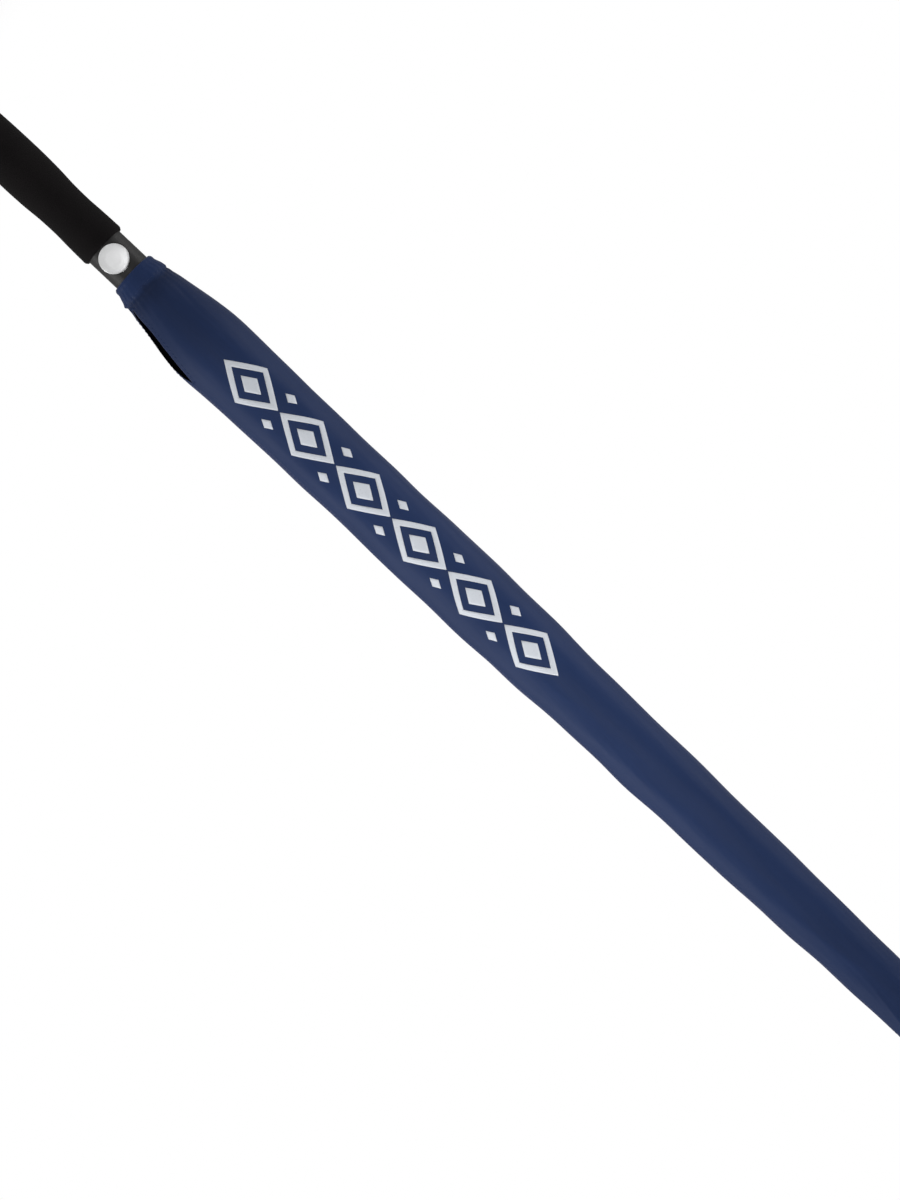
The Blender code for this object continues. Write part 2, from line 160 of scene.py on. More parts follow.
# Stitches
STITCH_PITCH = 0.0026
STITCH_LENGTH = 0.0019
STITCH_RADIUS = 0.00020
SEAM_ALLOWANCE = 0.0026  # from an edge to its row of stitches
HEM_ROWS = (CREASE_Z - 0.0016, SLEEVE_HIGH - 0.0065, SLEEVE_HIGH - 0.0090)
SEAM_TOP = SLEEVE_HIGH - 0.012
TACK_HEIGHTS = (SLIT_LOW - 0.0008, SLIT_HIGH + 0.0010)  # a short zigzag at each end of the slit
TACK_STEP = 0.035  # in radians round the sleeve
TACK_LEAN = 20

# Print on the sleeve: a row of lozenges, in metres round the sleeve and along it
PRINT_LOW = 0.262
PRINT_PITCH = 0.0429
PRINT_COUNT = 6
PRINT_HALF_WIDTH = 0.0138
PRINT_HALF_LENGTH = PRINT_PITCH / 2
PRINT_FILL = 0.97  # of the length to the next lozenge
PRINT_OPENING = 0.72  # of a lozenge's size
PRINT_CORE = (0.0050, 0.0078)  # half width and half length of the solid one inside
PRINT_SPOT = (0.0028, 0.0044)  # and of the small ones between
PRINT_SPOT_SIDE = 0.72  # share of the half width
INK_LIFT = 0.00003
INK_FILM = 0.00009

# Canopy
CANOPY_WALL = 0.0003
CANOPY_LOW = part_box("canopy_panel_1")[0].z
CANOPY_HIGH = HINGE_Z - 0.0015
CANOPY_LENGTH = HINGE_Z - CANOPY_LOW
BLEND_RADIUS = 0.0120  # less than the folded cloth's smallest radius
HALF_SPREAD = math.radians(20.3)  # half the angle at the top of one open panel
HEM_WIDTH = 0.007
HEM_THICKNESS = 1.5  # times the cloth's
HEM_SCALLOP = 0.015  # share of the length by which the edge is cut back between ribs
ROW_CROWDING = 1.25  # power that draws the rows together at the hem
PLEATS = 3
PLEAT_SKEW = 0.6
PLEAT_TWIST = 5  # radians to the metre
PLEAT_FILL = 0.92  # share of the room between the smallest and largest radius


# Shapes

def object_of(name, mesh, material=None):
    """The mesh as an object in the scene, with its material."""
    obj = bpy.data.objects.new(name, mesh)
    bpy.context.scene.collection.objects.link(obj)
    if material:
        mesh.materials.append(material)
    return obj


def smooth_mesh(shape):
    """The bmesh as a mesh, smooth all over."""
    mesh = bpy.data.meshes.new("shape")
    shape.to_mesh(mesh)
    shape.free()
    mesh.shade_smooth()
    return mesh


def mesh_of(shape, sharp=35):
    """The bmesh as a mesh with its faces out, smooth but for edges sharper than that many degrees."""
    bmesh.ops.remove_doubles(shape, verts=shape.verts, dist=1e-6)
    bmesh.ops.recalc_face_normals(shape, faces=shape.faces)
    mesh = smooth_mesh(shape)
    mesh.set_sharp_from_angle(angle=math.radians(sharp))
    return mesh


def outline_of(node, beyond=0.0):
    """The outer outline of a turned CAD node, as (radius, z) from the bottom up."""
    places = np.array([corner.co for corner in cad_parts[node].data.vertices])
    heights = np.round(places[:, 2], 5)
    radii = np.hypot(places[:, 0], places[:, 1])
    rings = [(radii[heights == z], z) for z in np.unique(heights)]
    return [(ring.max(), z) for ring, z in rings if len(ring) >= 24 and ring.max() > beyond]


def curve_through(knots, heights):
    """The radius at each height, on a smooth curve through (radius, z) knots that never overshoots a turn."""
    radius, z = np.array(knots).T
    step = np.diff(z)
    rise = np.diff(radius) / step
    slope = np.concatenate([rise[:1], (rise[1:] + rise[:-1]) / 2, rise[-1:]])
    slope[1:-1][rise[1:] * rise[:-1] < 0] = 0
    k = np.clip(np.searchsorted(z, heights) - 1, 0, len(step) - 1)
    t = (heights - z[k]) / step[k]
    ends = radius[k] + (radius[k + 1] - radius[k]) * (3 * t**2 - 2 * t**3)
    return ends + step[k] * ((t**3 - 2 * t**2 + t) * slope[k] + (t**3 - t**2) * slope[k + 1])


def turned(outline, sides=96, sharp=35):
    """A closed outline of (radius, z) turned about Z. A corner on the axis has radius 0.

    Its UV map is in metres, round its widest circle and along its outline.
    """
    shape = bmesh.new()
    uv_layer = shape.loops.layers.uv.new("metres")
    turns = [2 * math.pi * k / sides for k in range(sides)]
    widest = max(radius for radius, _ in outline)
    run = [0.0]
    for (r0, z0), (r1, z1) in zip(outline, outline[1:] + outline[:1]):
        run.append(run[-1] + math.hypot(r1 - r0, z1 - z0))
    rings = []
    for radius, z in outline:
        if radius == 0:
            rings.append([shape.verts.new((0, 0, z))] * sides)
            continue
        rings.append([shape.verts.new((radius * math.cos(a), radius * math.sin(a), z)) for a in turns])
    step = 2 * math.pi * widest / sides
    for low, high, v0, v1 in zip(rings, rings[1:] + rings[:1], run, run[1:]):
        for k in range(sides):
            after = (k + 1) % sides
            around = {low[k]: (k, v0), low[after]: (k + 1, v0), high[after]: (k + 1, v1), high[k]: (k, v1)}
            if len(around) > 2:
                face = shape.faces.new(list(around))
                for loop in face.loops:
                    turn, v = around[loop.vert]
                    loop[uv_layer].uv = (turn * step, v)
    return mesh_of(shape, sharp)


def rounded(outline, radius, steps=4):
    """The closed outline with each corner cut back by the radius and rounded."""
    points = [Vector((r, z)) for r, z in outline]
    smooth = []
    for k, corner in enumerate(points):
        before = points[k - 1]
        after = points[(k + 1) % len(points)]
        if corner.x == 0:
            smooth.append(tuple(corner))
            continue
        reach = min(radius, (before - corner).length / 2.1, (after - corner).length / 2.1)
        start = corner + (before - corner).normalized() * reach
        end = corner + (after - corner).normalized() * reach
        for j in range(steps + 1):
            t = j / steps
            smooth.append(tuple(start * (1 - t) ** 2 + corner * 2 * t * (1 - t) + end * t**2))
    return smooth


def shade_round(part, sharp=30):
    """Smooth shading for a CAD node, but for edges sharper than that many degrees. Its shape stays."""
    part.data.shade_smooth()
    part.modifiers.new("weld", "WELD").merge_threshold = 1e-6
    part.modifiers.new("split", "EDGE_SPLIT").split_angle = math.radians(sharp)
    part.modifiers.new("normals", "WEIGHTED_NORMAL")


def apply_modifiers(obj):
    """Make the object's modifiers part of its mesh."""
    graph = bpy.context.evaluated_depsgraph_get()
    mesh = bpy.data.meshes.new_from_object(obj.evaluated_get(graph))
    obj.modifiers.clear()
    obj.data = mesh


def polar(radius, azimuth, z):
    return Vector((radius * math.cos(azimuth), radius * math.sin(azimuth), z))


# Material nodes

def new_material(name, colour, roughness, metallic=0.0, **sockets):
    """A Principled material. The other words name its sockets, with _ for a space."""
    material = bpy.data.materials.new(name)
    material.use_nodes = True
    shader = material.node_tree.nodes["Principled BSDF"]
    shader.inputs["Base Color"].default_value = (*colour, 1)
    shader.inputs["Roughness"].default_value = roughness
    shader.inputs["Metallic"].default_value = metallic
    for socket, value in sockets.items():
        shader.inputs[socket.replace("_", " ")].default_value = value
    return material


def node(material, kind, *sources, **settings):
    """A new node. Each source is a value or an output, for the node's sockets in their order."""
    tree = material.node_tree
    made = tree.nodes.new("ShaderNode" + kind)
    for setting, value in settings.items():
        setattr(made, setting, value)
    for socket, source in zip(made.inputs, sources):
        if isinstance(source, bpy.types.NodeSocket):
            tree.links.new(source, socket)
        elif source is not None:
            socket.default_value = source
    return made


def maths(material, operation, *sources):
    return node(material, "Math", *sources, operation=operation).outputs[0]


def coordinates(material, stretch=(1, 1, 1), kind="Object"):
    """Coordinates in metres, each times its share of stretch. A small share draws features out along it."""
    source = node(material, "TexCoord").outputs[kind]
    return node(material, "Mapping", source, None, None, stretch).outputs[0]


def noise(material, where, scale, detail=2.0, roughness=0.5):
    """Noise from 0 to 1, with about scale features to the metre."""
    made = node(material, "TexNoise")
    material.node_tree.links.new(where, made.inputs["Vector"])
    made.inputs["Scale"].default_value = scale
    made.inputs["Detail"].default_value = detail
    made.inputs["Roughness"].default_value = roughness
    return made.outputs[0]


def between(material, share, low, high):
    """A value that goes from low to high as the share goes from 0 to 1."""
    return maths(material, "MULTIPLY_ADD", share, high - low, low)


def link(material, source, socket):
    shader = material.node_tree.nodes["Principled BSDF"]
    material.node_tree.links.new(source, shader.inputs[socket])


def add_bump(material, height, depth, strength=1.0):
    """Relief as deep as depth for a height of 1."""
    bump = node(material, "Bump")
    bump.inputs["Strength"].default_value = strength
    bump.inputs["Distance"].default_value = depth
    material.node_tree.links.new(height, bump.inputs["Height"])
    link(material, bump.outputs[0], "Normal")


def scaled(colour, by):
    return tuple(c * by for c in colour)


def vary_colour(material, share, colour, first, last, low=0.3, high=0.7):
    """The material's colour goes from first to last times this one, between those shares."""
    ramp = node(material, "ValToRGB", share)
    ramp.color_ramp.elements[0].position = low
    ramp.color_ramp.elements[0].color = (*scaled(colour, first), 1)
    ramp.color_ramp.elements[1].position = high
    ramp.color_ramp.elements[1].color = (*scaled(colour, last), 1)
    link(material, ramp.outputs[0], "Base Color")


# Materials

def weave(material, where, pitch):
    """A plain weave: threads that go over and under each other, 0 to 1."""
    split = node(material, "SeparateXYZ", where)
    threads = []
    for axis in (0, 1):
        turns = maths(material, "MULTIPLY", split.outputs[axis], 2 * math.pi / pitch)
        threads.append(maths(material, "SINE", turns))
    crossed = maths(material, "MULTIPLY", *threads)
    return between(material, crossed, 0.5, 1.0)


def fabric(name, colour, roughness, **sockets):
    """Woven polyester: fine threads, slubs along it, and areas that took the dye a little differently."""
    material = new_material(name, colour, roughness, **sockets)
    where = coordinates(material, kind="UV")
    cloudy = noise(material, coordinates(material, (1, 0.35, 1), "UV"), 22, 3)
    slubs = noise(material, coordinates(material, (1, 0.04, 1), "UV"), 1400, 2)
    tone = between(material, cloudy, 0.25, 0.75)
    tone = maths(material, "MULTIPLY_ADD", slubs, 0.3, tone)
    vary_colour(material, tone, colour, 0.84, 1.18)
    link(material, between(material, slubs, roughness - 0.05, roughness + 0.06), "Roughness")
    soft = noise(material, coordinates(material, (1, 0.25, 1), "UV"), 160, 3)
    threads = weave(material, where, THREAD_PITCH)
    height = maths(material, "MULTIPLY_ADD", threads, 0.35, soft)
    add_bump(material, height, 0.00009, 0.8)
    return material


def sleeve_material():
    """The sleeve's cloth, with painted shade: its colour is darkened in the crease behind the hem, and less
    so further up.
    """
    material = fabric(
        "sleeve_fabric", SLEEVE_NAVY, 0.52,
        Sheen_Weight=0.08, Sheen_Roughness=0.3, Sheen_Tint=(0.6, 0.55, 0.9, 1), Specular_IOR_Level=0.14,
    )
    height = node(material, "SeparateXYZ", coordinates(material, kind="UV")).outputs[1]
    uneven = noise(material, coordinates(material, kind="UV"), 120, 3)
    height = maths(material, "MULTIPLY_ADD", uneven, 0.006, height)
    share = node(material, "MapRange", height, SLEEVE_LOW + 0.003, SLEEVE_LOW + 0.103).outputs[0]
    # Painted shade: the colour drops to 0.6 just past the hem's crease and comes back to full further up.
    ramp = node(material, "ValToRGB", share)
    stops = [(0.0, 1.0), (0.105, 0.98), (0.135, 0.60), (0.26, 0.78), (0.95, 1.0)]
    ramp.color_ramp.elements.remove(ramp.color_ramp.elements[0])
    ramp.color_ramp.elements[0].position = 1
    for position, value in stops:
        ramp.color_ramp.elements.new(position).color = (value, value, value, 1)
    shader = material.node_tree.nodes["Principled BSDF"]
    dyed = shader.inputs["Base Color"].links[0].from_socket
    crease_shaded_colour = node(material, "VectorMath", dyed, ramp.outputs[0], operation="MULTIPLY").outputs[0]
    link(material, crease_shaded_colour, "Base Color")
    return material


def thread_material():
    """Sewing thread: a little paler than the cloth, with a fine uneven twist."""
    colour = scaled(SLEEVE_NAVY, 1.15)
    material = new_material("sewing_thread", colour, 0.5, Specular_IOR_Level=0.2)
    twist = noise(material, coordinates(material), 3000, 3, 0.6)
    vary_colour(material, twist, colour, 0.85, 1.2)
    add_bump(material, twist, 0.00003, 0.6)
    return material


def foam_material():
    """Closed-cell foam: matt, with fine pores and a skin that is a little polished in patches."""
    colour = (0.0058, 0.0048, 0.0051)
    material = new_material("eva_foam", colour, 0.82, Specular_IOR_Level=0.1)
    where = coordinates(material)
    cells = noise(material, where, 1500, 4, 0.65)
    patches = noise(material, where, 45, 3)
    vary_colour(material, patches, colour, 0.8, 1.35)
    link(material, between(material, patches, 0.72, 0.9), "Roughness")
    pores = node(material, "TexVoronoi", where)
    pores.inputs["Scale"].default_value = 1100
    pits = maths(material, "MINIMUM", pores.outputs["Distance"], 0.35)
    height = maths(material, "MULTIPLY_ADD", pits, 1.2, cells)
    add_bump(material, height, 0.00016, 0.9)
    return material


def plastic_material(name, colour, roughness, grain=0.00004, level=0.4):
    """Moulded plastic: an even fine grain, with faint flow marks and rubbed places."""
    material = new_material(name, colour, roughness, Specular_IOR_Level=level)
    where = coordinates(material)
    fine = noise(material, where, 2600, 2)
    rubbed = noise(material, where, 70, 4, 0.6)
    vary_colour(material, rubbed, colour, 0.9, 1.15)
    link(material, between(material, rubbed, roughness + 0.07, roughness - 0.07), "Roughness")
    add_bump(material, fine, grain, 0.7)
    return material


def metal_material(name, colour, roughness, stretch, metallic=1.0):
    """Drawn or brushed metal: fine lines along the axes with a small share of stretch."""
    material = new_material(name, colour, roughness, metallic)
    lines = noise(material, coordinates(material, stretch), 2200, 3, 0.6)
    stains = noise(material, coordinates(material), 60, 3)
    vary_colour(material, stains, colour, 0.9, 1.06)
    link(material, between(material, lines, roughness - 0.08, roughness + 0.1), "Roughness")
    add_bump(material, lines, 0.00002, 0.6)
    return material


def fibreglass_material():
    """Pultruded rods: dark, with long pale fibres under a glossy resin skin."""
    colour = (0.012, 0.012, 0.013)
    material = new_material("fibreglass", colour, 0.34, Coat_Weight=0.3, Coat_Roughness=0.2)
    fibres = noise(material, coordinates(material, (1, 1, 0.02)), 3000, 3, 0.7)
    vary_colour(material, fibres, colour, 1, 2.6, 0.5, 0.8)
    add_bump(material, fibres, 0.00003, 0.5)
    return material


def ink_material():
    """Screen print: off-white ink that fills the weave, thinner in places."""
    material = new_material("print_ink", INK_WHITE, 0.62, Specular_IOR_Level=0.3)
    thin = noise(material, coordinates(material), 900, 4, 0.7)
    vary_colour(material, thin, INK_WHITE, 0.8, 1, 0.28, 0.42)
    threads = weave(material, coordinates(material, kind="UV"), THREAD_PITCH)
    add_bump(material, maths(material, "MULTIPLY_ADD", thin, 0.6, threads), 0.00004, 0.7)
    return material


# Camera, floor and lights

def add_camera():
    data = bpy.data.cameras.new("camera")
    data.lens = data.sensor_width * CAMERA_DISTANCE / VIEW_HEIGHT
    camera = bpy.data.objects.new("camera", data)
    bpy.context.scene.collection.objects.link(camera)
    right = Vector((-math.sin(VIEW_TILT), 0, math.cos(VIEW_TILT)))
    up = Vector((-math.cos(VIEW_TILT), 0, -math.sin(VIEW_TILT)))
    back = Vector((0, -1, 0))
    turn = Matrix((right, up, back)).transposed().to_4x4()
    camera.matrix_world = Matrix.Translation((VIEW_CENTRE_X, -CAMERA_DISTANCE, VIEW_CENTRE_Z)) @ turn
    bpy.context.scene.camera = camera


def add_world(light):
    """White behind the umbrella, and a weaker white light from all round."""
    world = bpy.data.worlds.new("studio")
    world.use_nodes = True
    tree = world.node_tree
    background = tree.nodes["Background"]
    background.inputs["Color"].default_value = (1, 1, 1, 1)
    path = tree.nodes.new("ShaderNodeLightPath")
    strength = tree.nodes.new("ShaderNodeMath")
    strength.operation = "MULTIPLY_ADD"
    tree.links.new(path.outputs["Is Camera Ray"], strength.inputs[0])
    strength.inputs[1].default_value = 1 - light
    strength.inputs[2].default_value = light
    tree.links.new(strength.outputs[0], background.inputs["Strength"])
    bpy.context.scene.world = world
    bpy.context.scene.view_settings.view_transform = "Standard"


def add_light(name, place, aim, width, height, power, spread):
    """A soft box that shines from its place at the aim, in a beam as wide as the spread in degrees."""
    data = bpy.data.lights.new(name, "AREA")
    data.shape = "RECTANGLE"
    data.size = width
    data.size_y = height
    data.energy = power
    data.spread = math.radians(spread)
    light = bpy.data.objects.new(name, data)
    light.location = place
    light.rotation_euler = (Vector(aim) - Vector(place)).to_track_quat("-Z", "Y").to_euler()
    bpy.context.scene.collection.objects.link(light)


def add_floor():
    """A pale round floor that fades out towards its rim, and that can't be seen from below."""
    shape = bmesh.new()
    bmesh.ops.create_circle(shape, cap_ends=True, segments=96, radius=FLOOR_RADIUS)
    floor = object_of("floor", mesh_of(shape))
    floor.location.z = CAD_BOX[0].z - FLOOR_DROP
    material = new_material("floor", (0.9, 0.9, 0.9), 0.9)
    away = node(material, "VectorMath", coordinates(material), operation="LENGTH").outputs["Value"]
    fade = (0.0, FLOOR_RADIUS, 1.0, 0.0)
    solid = node(material, "MapRange", away, *fade, interpolation_type="SMOOTHERSTEP")
    from_above = maths(material, "SUBTRACT", 1.0, node(material, "NewGeometry").outputs["Backfacing"])
    link(material, maths(material, "MULTIPLY", solid.outputs[0], from_above), "Alpha")
    floor.data.materials.append(material)


def add_studio():
    add_camera()
    add_world(ROOM_LIGHT)
    add_floor()
    for light in LIGHTS:
        add_light(*light)


# Handle

def add_grip(material):
    """The foam grip: a gently waved tube with soft rims, open at its top for the collar."""
    knots = outline_of("grip", beyond=GRIP_LEAST_RADIUS)
    low_z, high_z = knots[0][1], knots[-1][1]
    heights = np.linspace(low_z, high_z, 150)
    outer = list(zip(curve_through(knots, heights), heights))
    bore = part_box("button_collar")[1].x + GRIP_PLAY
    outline = [(bore, low_z), *outer, (bore, high_z)]
    grip = object_of("foam_grip", turned(outline, sharp=50), material)
    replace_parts(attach(grip, "handle_and_shaft"), "grip")


def add_end_cap(material):
    """The end cap: a turned plug with a grooved side and a dished, flat-rimmed end."""
    low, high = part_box("grip_end_cap")
    rim = high.x
    top = 0.0064
    outline = [
        (0, low.z + 0.0006), (0.0060, low.z + 0.0006), (0.0066, low.z), (rim * 0.90, low.z),
        (rim * 0.98, low.z + 0.0012), (rim, low.z + 0.0030), (rim * 0.975, low.z + 0.0034),
        (rim * 0.975, low.z + 0.0040), (rim, low.z + 0.0044), (rim * 0.97, top), (0.0065, top),
        (0.0065, high.z), (0, high.z),
    ]
    cap = object_of("end_cap", turned(rounded(outline, 0.0003), sharp=60), material)
    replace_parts(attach(cap, "handle_and_shaft"), "grip_end_cap")


def add_button(material):
    """The push button: a cup with a brushed face, a stem inside, and a gap in its wall for the lever."""
    places = np.array([corner.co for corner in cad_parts["push_button"].data.vertices])
    outward = places[:, 0] * math.cos(BUTTON_AZIMUTH) + places[:, 1] * math.sin(BUTTON_AZIMUTH)
    low, high = outward.min(), outward.max()
    centre_z = (places[:, 2].max() + places[:, 2].min()) / 2
    radius = (places[:, 2].max() - places[:, 2].min()) / 2
    face = high - 0.0002
    inside = high - BUTTON_FLOOR
    stem = high - STEM_END
    bore = radius - BUTTON_WALL
    outline = [
        (0, stem), (STEM_RADIUS, stem), (STEM_RADIUS, inside), (bore, inside), (bore, low), (radius, low),
        (radius, face - 0.0004), (radius - 0.0005, face), (0.0045, high), (0, high),
    ]
    mesh = turned(rounded(outline, 0.0004), sharp=60)
    aim = Matrix.Rotation(BUTTON_AZIMUTH, 4, "Z")
    mesh.transform(Matrix.Translation((0, 0, centre_z)) @ aim @ Matrix.Rotation(math.pi / 2, 4, "Y"))
    button = object_of("button", mesh, material)
    shape = bmesh.new()
    bmesh.ops.create_cube(shape, size=1)
    gap = object_of("lever_gap", mesh_of(shape))
    centre = Matrix.Translation((inside - LEVER_GAP[0] / 2, 0, LEVER_GAP_Z))
    gap.data.transform(aim @ centre @ Matrix.Diagonal(LEVER_GAP).to_4x4())
    cut = button.modifiers.new("gap", "BOOLEAN")
    cut.operation = "DIFFERENCE"
    cut.object = gap
    apply_modifiers(button)
    button.data.set_sharp_from_angle(angle=math.radians(60))
    bpy.data.objects.remove(gap)
    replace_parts(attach(button, "push_button"), "push_button")


def add_ferrule(material):
    """The ferrule: a flanged foot with two rings, then a long taper to a rounded tip."""
    low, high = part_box("ferrule")
    foot = high.x
    length = high.z - low.z
    outline = [
        (0, low.z), (foot * 0.98, low.z), (foot, low.z + 0.0030), (foot * 0.93, low.z + 0.0042),
        (foot * 0.93, low.z + 0.0052), (foot * 0.97, low.z + 0.0058), (foot * 0.95, low.z + 0.0070),
        (foot * 0.83, low.z + length * 0.37), (foot * 0.70, low.z + length * 0.71),
        (foot * 0.66, low.z + length * 0.89), (foot * 0.51, high.z - 0.0010), (foot * 0.3, high.z),
        (0, high.z),
    ]
    ferrule = object_of("tip_ferrule", turned(rounded(outline, 0.0006), sharp=60), material)
    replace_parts(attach(ferrule, "handle_and_shaft"), "ferrule")


# Sleeve

SLEEVE_OUTLINE = outline_of("sleeve")


def plain_radius(z):
    """The sleeve's radius at a height, without its folds."""
    return float(curve_through(SLEEVE_OUTLINE, np.array(z)))


def hill(distance, width):
    return np.exp(-((distance / width) ** 2))


def ripples(z, azimuth, seed, count, rounds, wave, height):
    """Many low waves laid over each other, with whole numbers of waves round the sleeve."""
    random = np.random.default_rng(seed)
    total = 0 * z * azimuth
    for _ in range(count):
        about = random.integers(*rounds)
        along = 2 * math.pi / random.uniform(*wave) * random.choice([-1, 1])
        total = total + np.sin(about * azimuth + along * z + random.uniform(0, 2 * math.pi))
    return total * height / math.sqrt(count)


def slit_edges(z):
    """Azimuths of the slit's front and back edges. The flaps part in the middle of its length."""
    along = np.clip((z - SLIT_LOW) / (SLIT_HIGH - SLIT_LOW), 0, 1)
    opened = np.sin(math.pi * along) ** 0.8
    return SEAM_AZIMUTH - FRONT_FLAP * opened, SEAM_AZIMUTH + BACK_FLAP * opened


def tuck(z, azimuth):
    """How far the back flap is drawn in towards its edge."""
    edge = slit_edges(z)[1]
    opened = (edge - SEAM_AZIMUTH) / BACK_FLAP
    beyond = np.where(azimuth > SEAM_AZIMUTH, azimuth - edge, math.pi)
    return 0.0006 * opened * np.clip(1 - beyond / math.radians(30), 0, 1) ** 2


def sleeve_radius(z, azimuth):
    """The sleeve's outer radius, with its hem, folds and ripples. z and azimuth are arrays."""
    radius = curve_through(SLEEVE_OUTLINE, z)
    lip = 0.0009 * hill(z - SLEEVE_LOW - 0.0012, 0.0016)
    hem = 0.0004 * hill(z - SLEEVE_LOW - 0.0065, 0.0036)
    crease = -0.00070 * hill(z - CREASE_Z, 0.0009) - 0.00045 * hill(z - CREASE_Z - 0.003, 0.0035)
    to_side = np.cos(azimuth)
    flare = (0.0008 * hill(z - 0.246, 0.018) + 0.0009 * hill(z - 0.234, 0.014)) * np.clip(to_side, 0, 1) ** 3
    knot = 0.0012 * hill(z - 0.2015, 0.0016) * hill(azimuth - math.radians(-8), math.radians(9))
    body = np.clip((z - CREASE_Z) / 0.02, 0, 1)
    long_folds = ripples(z, azimuth, seed=3, count=14, rounds=(3, 9), wave=(0.16, 0.5), height=0.00020)
    cross_folds = ripples(z, azimuth, seed=5, count=16, rounds=(1, 4), wave=(0.04, 0.09), height=0.00028)
    gathers = ripples(z, azimuth, seed=8, count=8, rounds=(17, 34), wave=(0.02, 0.08), height=0.00012)
    near_hems = hill(z - CREASE_Z, 0.006) + 1.6 * hill(z - SLEEVE_HIGH, 0.012) + 0.25
    seam = 0.00022 * hill(azimuth - SEAM_AZIMUTH, math.radians(1.6)) * np.clip((z - SLIT_HIGH) / 0.004, 0, 1)
    radius = radius + lip + hem + crease + flare + knot + seam - tuck(z, azimuth)
    above_slit = np.clip((z - SLIT_HIGH) / 0.05, 0, 1)
    radius = radius + body * long_folds + above_slit * cross_folds + near_hems * gathers
    for fold_z, degrees, long, wide, lean, height in FOLDS:
        across = (azimuth - math.radians(degrees)) * SLEEVE_MEAN_RADIUS
        along = z - fold_z
        turn = math.radians(lean)
        run = along * math.cos(turn) + across * math.sin(turn)
        side = across * math.cos(turn) - along * math.sin(turn)
        radius = radius + height * hill(run, long) * hill(side, wide)
    return radius


def sleeve_point(z, azimuth, lift=0.0):
    radius = float(sleeve_radius(np.array(z), np.array(azimuth))) + lift
    return polar(radius, azimuth, z)


def sleeve_heights():
    """Rows: close together round the mouth, slit and neck, and further apart between."""
    mouth = np.arange(SLEEVE_LOW, SLIT_HIGH + 0.006, 0.0009)
    neck = SLEEVE_HIGH - NECK_LENGTH
    middle = np.linspace(mouth[-1], neck, 230)[1:]
    return np.concatenate([mouth, middle, np.linspace(neck, SLEEVE_HIGH, 16)[1:]])


def sleeve_grid(columns=112):
    """Heights of the fabric's corners, and their azimuths from one side of the seam round to its other.

    The last array is the azimuths again, brought back to within half a turn.
    """
    z = sleeve_heights()[:, None]
    share = np.linspace(0, 1, columns + 1)[None, :]
    front_edge, back_edge = slit_edges(z)
    back = (back_edge - SEAM_AZIMUTH) * np.clip(1 - share / FLAP_REACH, 0, 1) ** 2
    front = (front_edge - SEAM_AZIMUTH) * np.clip(1 - (1 - share) / FLAP_REACH, 0, 1) ** 2
    azimuth = SEAM_AZIMUTH + 2 * math.pi * share + back + front
    wrapped = np.where(azimuth > math.pi, azimuth - 2 * math.pi, azimuth)
    return z + 0 * azimuth, azimuth, wrapped


def sleeve_mesh():
    """The fabric as one sheet without thickness, with its slit. Its UV map is in metres."""
    z, azimuth, wrapped = sleeve_grid()
    radius = sleeve_radius(z, wrapped)
    places = np.stack([radius * np.cos(azimuth), radius * np.sin(azimuth), z], -1)
    shape = bmesh.new()
    corners = [[shape.verts.new(place) for place in row] for row in places]
    rows, columns = z.shape
    uv_layer = shape.loops.layers.uv.new("metres")
    for i in range(rows - 1):
        for j in range(columns - 1):
            around = [(i, j), (i, j + 1), (i + 1, j + 1), (i + 1, j)]
            face = shape.faces.new([corners[a][b] for a, b in around])
            for loop, (a, b) in zip(face.loops, around):
                loop[uv_layer].uv = (SLEEVE_MEAN_RADIUS * azimuth[a, b], z[a, b])
    bmesh.ops.remove_doubles(shape, verts=shape.verts, dist=2e-5)
    return smooth_mesh(shape)


def crumples_with_frame(piece):
    """Sleeve pieces bunch up round the handle's end of the shaft when the frame opens under them."""
    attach(piece, "sleeve")
    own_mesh(piece)


def add_sleeve(outside, inside):
    sleeve = object_of("fabric_sleeve", sleeve_mesh(), outside)
    sleeve.data.materials.append(inside)
    wall = sleeve.modifiers.new("wall", "SOLIDIFY")
    wall.thickness = SLEEVE_WALL
    wall.offset = -1
    # The inside and every rim take the second material, which is near-black painted shade.
    wall.material_offset = 1
    wall.material_offset_rim = 1
    apply_modifiers(sleeve)
    crumples_with_frame(sleeve)
    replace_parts(sleeve, "sleeve")
    return sleeve


def add_stitch(shape, z, azimuth, lean, sides=6):
    """One stitch: a grain of thread sunk halfway into the cloth. lean turns it from along to across."""
    centre = sleeve_point(z, azimuth)
    out = polar(1, azimuth, 0)
    along = Vector((-out.y, out.x, 0)) * math.sin(lean) + Vector((0, 0, math.cos(lean)))
    aside = out.cross(along)
    tips = [shape.verts.new(centre + along * STITCH_LENGTH / 2 * side) for side in (-1, 1)]
    rings = []
    for side in (-1, 1):
        turns = [2 * math.pi * k / sides for k in range(sides)]
        middle = centre + along * STITCH_LENGTH * 0.3 * side
        ring = [middle + (out * math.cos(a) + aside * math.sin(a)) * STITCH_RADIUS for a in turns]
        rings.append([shape.verts.new(place) for place in ring])
    for k in range(sides):
        after = (k + 1) % sides
        shape.faces.new([tips[0], rings[0][after], rings[0][k]])
        shape.faces.new([rings[0][k], rings[0][after], rings[1][after], rings[1][k]])
        shape.faces.new([tips[1], rings[1][k], rings[1][after]])


